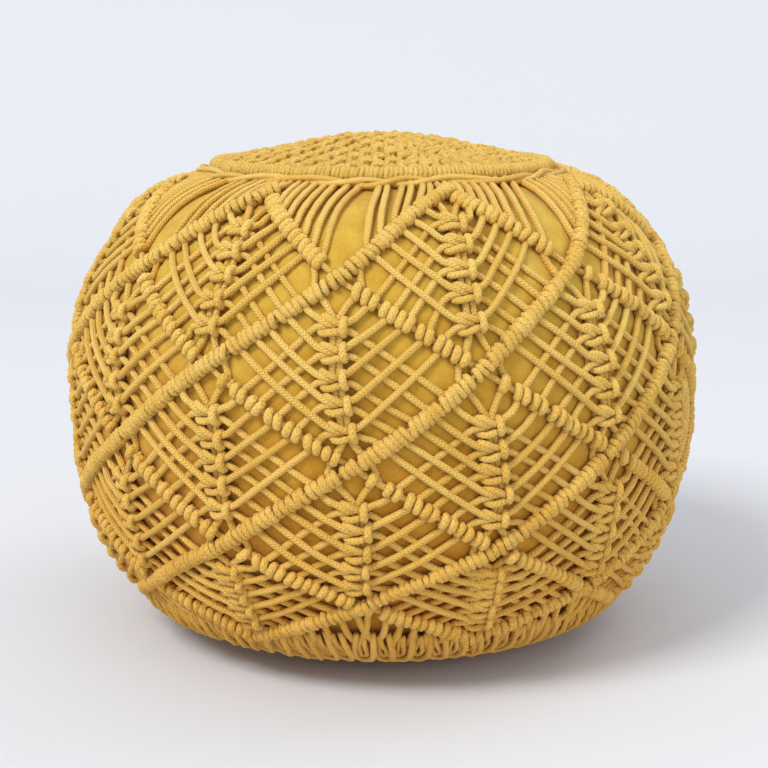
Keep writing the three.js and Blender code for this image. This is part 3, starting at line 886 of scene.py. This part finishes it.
def under_cords():
    """Cords that run in under the sole to the drawn-in last round."""
    shape = Shape()
    place = np.arange(UNDER_CORDS) + rng.uniform(-0.2, 0.2, UNDER_CORDS)
    turn = (2 * math.pi * place / UNDER_CORDS)[:, None]
    arc = np.array([[538.0, 550.0, 562.0, 574.0, 586.0, 597.0, 603.0]]) + 0 * turn
    lift = np.array([[1.2, 1.4, 1.8, 1.8, 1.8, 1.8, 1.8]]) + rng.uniform(-0.3, 0.3, turn.shape)
    path = over(turn + 0.012 * np.sin(arc / 9 + 40 * turn), arc, lift)
    path[..., 2] = np.maximum(path[..., 2], UNDER_HEIGHT)
    shape.add_tubes(rounded(path, [2] * 6), UNDER_RADIUS, sides=7)
    around = full_turn(128)
    x, y = LAST_ROUND_RADIUS * np.sin(around), -LAST_ROUND_RADIUS * np.cos(around)
    ring = np.stack([x, y, UNDER_HEIGHT + 0 * around], axis=-1)
    shape.add_tubes(ring[None], UNDER_RADIUS, closed=True)
    return shape


# Materials. A braid has this many columns round a cord and repeats at this pitch, in millimetres;
# the casing's cloth has this many pairs of threads round it and down it.
WHITE = (1.0, 1.0, 1.0)
BRAID_COLUMNS = 5.0
BRAID_PITCH = 2.7
WARP_THREADS = 1500
WEFT_THREADS = 600


def principled(name):
    material = bpy.data.materials.new(name)
    material.use_nodes = True
    tree = material.node_tree
    shader = tree.nodes["Principled BSDF"]
    return material, tree, shader


def math_node(tree, operation, a, b=None):
    node = tree.nodes.new("ShaderNodeMath")
    node.operation = operation
    for socket, value in zip(node.inputs, (a, b)):
        if value is None:
            continue
        if isinstance(value, (int, float)):
            socket.default_value = value
        else:
            tree.links.new(value, socket)
    return node.outputs[0]


def times(tree, a, b):
    """One colour times another. Inputs 6 and 7 are the node's colours and output 2 is their mix."""
    node = tree.nodes.new("ShaderNodeMix")
    node.data_type = "RGBA"
    node.blend_type = "MULTIPLY"
    node.inputs["Factor"].default_value = 1
    tree.links.new(a, node.inputs[6])
    tree.links.new(b, node.inputs[7])
    return node.outputs[2]


def noise(tree, place, scale, detail):
    node = tree.nodes.new("ShaderNodeTexNoise")
    node.inputs["Scale"].default_value = scale
    node.inputs["Detail"].default_value = detail
    tree.links.new(place.outputs["Object"], node.inputs["Vector"])
    return node.outputs[0]


def ramp(tree, value, first, last, middle=()):
    """Colours by a value. Each stop is its position and its red, green and blue."""
    node = tree.nodes.new("ShaderNodeValToRGB")
    stops = node.color_ramp.elements
    stops[0].position, stops[0].color = first[0], (*first[1], 1)
    stops[-1].position, stops[-1].color = last[0], (*last[1], 1)
    for position, color in middle:
        stops.new(position).color = (*color, 1)
    tree.links.new(value, node.inputs[0])
    return node.outputs[0]


def uv_parts(tree):
    """A place's way round and its way along, from the map of the mesh."""
    uv = tree.nodes.new("ShaderNodeUVMap")
    uv.uv_map = "along"
    parts = tree.nodes.new("ShaderNodeSeparateXYZ")
    tree.links.new(uv.outputs[0], parts.inputs[0])
    return parts.outputs[0], parts.outputs[1]


def point_value(tree, name):
    node = tree.nodes.new("ShaderNodeAttribute")
    node.attribute_name = name
    return node.outputs["Fac"]


def bump(tree, shader, height, strength, distance):
    node = tree.nodes.new("ShaderNodeBump")
    node.inputs["Strength"].default_value = strength
    node.inputs["Distance"].default_value = distance
    tree.links.new(height, node.inputs["Height"])
    tree.links.new(node.outputs[0], shader.inputs["Normal"])


def painted_shade_below(tree, place, low):
    """Painted shade with a warm cast: colours grow darker and more orange towards the base."""
    parts = tree.nodes.new("ShaderNodeSeparateXYZ")
    tree.links.new(place.outputs["Object"], parts.inputs[0])
    height = math_node(tree, "MULTIPLY", parts.outputs[2], 2.5)
    return ramp(tree, height, (0.05, (1.0, 0.78, 0.50)), (0.75, WHITE), [(0.17, low)])


def cord_material():
    """Braided cotton cord with fibres and lumps. Its grooves, hollows, low places and base get
    painted shade.
    """
    material, tree, shader = principled("braided_cotton")
    calc = partial(math_node, tree)
    place = tree.nodes.new("ShaderNodeTexCoord")
    round_it, along_it = uv_parts(tree)
    column = calc("FRACT", calc("MULTIPLY", round_it, BRAID_COLUMNS))
    slant = calc("ABSOLUTE", calc("SUBTRACT", column, 0.5))
    along = calc("DIVIDE", along_it, BRAID_PITCH)
    strand = calc("FRACT", calc("ADD", along, calc("MULTIPLY", slant, 1.3)))
    ridge = calc("SINE", calc("MULTIPLY", strand, math.pi))
    groove = calc("MULTIPLY", calc("MULTIPLY", slant, slant), 1.8)
    braid = calc("SUBTRACT", ridge, groove)
    fibres = noise(tree, place, scale=1400, detail=3)
    lumps = noise(tree, place, scale=150, detail=3)
    height = calc("ADD", braid, calc("MULTIPLY", fibres, 0.8))
    height = calc("ADD", height, calc("MULTIPLY", lumps, 2.4))
    bump(tree, shader, height, strength=0.85, distance=0.00075)
    # The colour: a random tone for each cord and lumpy mottling, plus painted shade, since the
    # braid's grooves and the lumps' hollows, which the bump sinks, are darker
    tone = calc("MULTIPLY", point_value(tree, "tone"), 0.35)
    mottle_and_painted_shade = calc("ADD", tone, calc("MULTIPLY", lumps, 0.45))
    mottle_and_painted_shade = calc("ADD", mottle_and_painted_shade, calc("MULTIPLY", braid, 0.10))
    color = ramp(tree, mottle_and_painted_shade, (0.0, (0.635, 0.36, 0.040)), (0.80, (0.83, 0.585, 0.16)))
    # Painted shade: cord surfaces close to the cushion, in the shaded gaps between cords, are
    # darker and more orange
    painted_shade_near_cushion = ramp(tree, point_value(tree, "depth"), (0.04, (0.94, 0.60, 0.22)), (0.52, WHITE))
    # Painted shade on the cord, darker and more orange towards the base
    color = times(tree, times(tree, color, painted_shade_near_cushion), painted_shade_below(tree, place, (0.99, 0.87, 0.72)))
    tree.links.new(color, shader.inputs["Base Color"])
    shader.inputs["Roughness"].default_value = 0.88
    shader.inputs["Specular IOR Level"].default_value = 0.18
    shader.inputs["Sheen Weight"].default_value = 0.24
    shader.inputs["Sheen Roughness"].default_value = 0.45
    shader.inputs["Sheen Tint"].default_value = (1.0, 0.86, 0.5, 1)
    return material


def casing_material():
    """Plain woven cotton with a fine weave, slubs and small creases, with painted shade in the
    creases and near the base.
    """
    material, tree, shader = principled("plain_woven_cotton")
    calc = partial(math_node, tree)
    place = tree.nodes.new("ShaderNodeTexCoord")
    round_it, down_it = uv_parts(tree)
    warp = calc("SINE", calc("MULTIPLY", round_it, 2 * math.pi * WARP_THREADS))
    weft = calc("SINE", calc("MULTIPLY", down_it, 2 * math.pi * WEFT_THREADS))
    weave = calc("MULTIPLY", warp, weft)
    folds = noise(tree, place, scale=55, detail=5)
    slubs = noise(tree, place, scale=420, detail=3)
    height = calc("ADD", calc("MULTIPLY", weave, 0.22), calc("MULTIPLY", slubs, 0.5))
    height = calc("ADD", height, calc("MULTIPLY", folds, 6.0))
    bump(tree, shader, height, strength=0.8, distance=0.0006)
    # The colour mottles with the slubs and also follows the folds, so the folds' hollows, which the
    # bump sinks, get painted shade
    mottle_and_painted_shade = calc("ADD", calc("MULTIPLY", folds, 0.7), calc("MULTIPLY", slubs, 0.3))
    color = ramp(tree, mottle_and_painted_shade, (0.33, (0.53, 0.305, 0.031)), (0.68, (0.65, 0.445, 0.064)))
    # Painted shade on the casing, darker and more orange towards the base
    color = times(tree, color, painted_shade_below(tree, place, (0.89, 0.56, 0.28)))
    tree.links.new(color, shader.inputs["Base Color"])
    shader.inputs["Roughness"].default_value = 0.9
    shader.inputs["Specular IOR Level"].default_value = 0.12
    shader.inputs["Sheen Weight"].default_value = 0.12
    shader.inputs["Sheen Roughness"].default_value = 0.5
    return material


# The casing


def nearest_rows(points):
    """For each point in millimetres, the row of the outline's table that lies nearest."""
    radius, height = np.hypot(points[:, 0], points[:, 1]), points[:, 2]
    every, batch = 4, 4000
    rows = np.empty(len(points), int)
    for start in range(0, len(points), batch):
        part = slice(start, start + batch)
        gap = (radius[part, None] - RADIUS[None, ::every]) ** 2
        gap = gap + (height[part, None] - HEIGHT[None, ::every]) ** 2
        rows[part] = every * np.argmin(gap, axis=1)
    return rows


def pressed_in(points, arc):
    """How far off the cushion each place of the casing's grid may lie to stay under all cords."""
    field = np.full((CASING_ROWS, CASING_COLUMNS), NO_LIMIT)
    rows = nearest_rows(points)
    out = (np.hypot(points[:, 0], points[:, 1]) - RADIUS[rows]) * OUT_R[rows]
    lift = out + (points[:, 2] - HEIGHT[rows]) * OUT_Z[rows]
    angle = np.arctan2(points[:, 0], -points[:, 1])
    column = angle / (2 * math.pi) * CASING_COLUMNS
    step = arc[1] - arc[0]
    row = (RUN[rows] - arc[0]) / step
    radii = radius_at(arc)
    near = range(-PRESSED_CELLS, PRESSED_CELLS + 1)
    for dc in near:
        for dr in near:
            c, r = np.round(column).astype(int) + dc, np.round(row).astype(int) + dr
            ok = (r >= 0) & (r < CASING_ROWS)
            radius = radii[np.clip(r, 0, CASING_ROWS - 1)]
            across = (c - column) * 2 * math.pi * radius / CASING_COLUMNS
            away = np.maximum(np.hypot(across, (r - row) * step) - 1.0, 0)
            limit = lift + PRESSED_SLOPE * away ** PRESSED_POWER - PRESSED_UNDER
            np.minimum.at(field, (r[ok], c[ok] % CASING_COLUMNS), limit[ok])
    return field


def casing(net_points):
    """The filled casing, pressed in under the cords of the net and swelling through its gaps."""
    turn = full_turn(CASING_COLUMNS)
    arc = np.linspace(3.0, FULL_ARC, CASING_ROWS)
    field = pressed_in(net_points, arc)
    lift = np.minimum(field, by_arc(SWELL, arc)[:, None] + 0 * field)
    for _ in range(3):
        smooth = (
            np.roll(lift, 1, axis=1) + np.roll(lift, -1, axis=1)
            + np.vstack([lift[:1], lift[:-1]]) + np.vstack([lift[1:], lift[-1:]])
        ) / 4
        lift = np.minimum(0.4 * lift + 0.6 * smooth, field + 0.4)
    # The last stretch before the sole lies close to the cushion
    close, fade = 12, 14
    lift = lift * np.clip((FULL_ARC - close - arc) / fade, 0, 1)[:, None]
    points = over(turn[None, :] + 0 * arc[:, None], arc[:, None] + 0 * turn[None, :], lift)
    points[..., 2] = np.maximum(points[..., 2], 0.0)
    shape = Shape()
    shape.add_grid(points, tone=0.5)
    return shape


# Build all pieces

cotton = cord_material()
woven = casing_material()
made = bars()
columns_of_knots = diamonds()
pieces = [
    ("bars_front", made["bars_front"], ["side_net"]),
    ("bars_back", made["bars_back"], ["side_net"]),
    ("knots_upper", columns_of_knots[0], ["side_net"]),
    ("knots_middle", columns_of_knots[1], ["side_net"]),
    ("knots_lower", columns_of_knots[2], ["side_net"]),
    ("crown_fans", fans(), ["side_net"]),
    ("crown_knots", crown_knots(), ["crown_net"]),
    ("crown_hitches", crown_ring(), ["crown_ring"]),
    ("crown_round_inner", crown_round(-1), ["crown_cord_inner"]),
    ("crown_round_outer", crown_round(1), ["crown_cord_outer"]),
    ("base_loops", base_loops(), ["base_band"]),
    ("base_under", under_cords(), ["base_band"]),
]
for name, shape, nodes in pieces:
    shape.build(name, cotton, "cord", nodes)
# Every second point of the cords is enough to press the casing in
net = np.concatenate([np.concatenate(shape.points)[::2] for name, shape, nodes in pieces])
cushion = casing(net).build("casing", woven, "casing", ["cushion"])


# Floor, light and camera


def floor():
    """A sheet of paper that bends up behind the part."""
    material, _, shader = principled("studio_paper")
    shader.inputs["Base Color"].default_value = (0.635, 0.655, 0.695, 1)
    shader.inputs["Roughness"].default_value = 0.9
    mesh = bpy.data.meshes.new("floor")
    reach, back, rise, bend, steps = 6.0, 3.0, 5.0, 1.2, 12
    profile = [(-reach, 0.0)]
    for i in range(steps + 1):
        a = math.pi / 2 * i / steps
        profile.append((back - bend + bend * math.sin(a), bend - bend * math.cos(a)))
    profile.append((back, rise))
    verts = [(x, y, z) for y, z in profile for x in (-reach, reach)]
    faces = [(2 * i, 2 * i + 1, 2 * i + 3, 2 * i + 2) for i in range(len(profile) - 1)]
    mesh.from_pydata(verts, [], faces)
    mesh.polygons.foreach_set("use_smooth", np.ones(len(faces), bool))
    mesh.materials.append(material)
    obj = bpy.data.objects.new("floor", mesh)
    bpy.context.scene.collection.objects.link(obj)


def area_light(name, place, aim, size, power, color):
    """A square light that faces its aim."""
    data = bpy.data.lights.new(name, "AREA")
    data.shape = "SQUARE"
    data.size = size
    data.energy = power
    data.color = color
    obj = bpy.data.objects.new(name, data)
    obj.location = place
    x, y, z = np.array(aim) - np.array(place)
    obj.rotation_euler = (math.atan2(math.hypot(x, y), -z), 0, math.atan2(-x, y))
    bpy.context.scene.collection.objects.link(obj)


def studio():
    """A high key from the left, a weak fill, one light from behind and a pale sky."""
    for name, place, aim, size, power, color in (
        ("key", (-3.2, -3.2, 5.1), (0, 0, 0.15), 2.3, 322, (1.0, 0.97, 0.93)),
        ("fill", (2.1, -3.0, 1.1), (0, 0, 0.12), 2.4, 25, (1.0, 0.98, 0.95)),
        ("back", (3.2, 1.6, 3.8), (0.3, 0, 0), 3.0, 48, (1.0, 0.97, 0.94)),
    ):
        area_light(name, place, aim, size, power, color)
    world = bpy.data.worlds.new("studio")
    world.use_nodes = True
    background = world.node_tree.nodes["Background"]
    background.inputs["Color"].default_value = (0.925, 0.935, 0.97, 1)
    background.inputs["Strength"].default_value = 0.755
    bpy.context.scene.world = world
    bpy.context.scene.view_settings.view_transform = "Standard"


def camera():
    """The photo's camera: its focal length in pixels, and how far down and aside it looks."""
    data = bpy.data.cameras.new("camera")
    sensor, focal_px, width_px = 36.0, 1551.0, 768
    down, aside = 11.66, -0.074
    data.sensor_width = sensor
    data.lens = sensor * focal_px / width_px
    obj = bpy.data.objects.new("camera", data)
    obj.location = (0.0, -1.25, 0.4476)
    obj.rotation_euler = (math.radians(90 - down), 0, math.radians(aside))
    bpy.context.scene.collection.objects.link(obj)
    bpy.context.scene.camera = obj


floor()
studio()
camera()
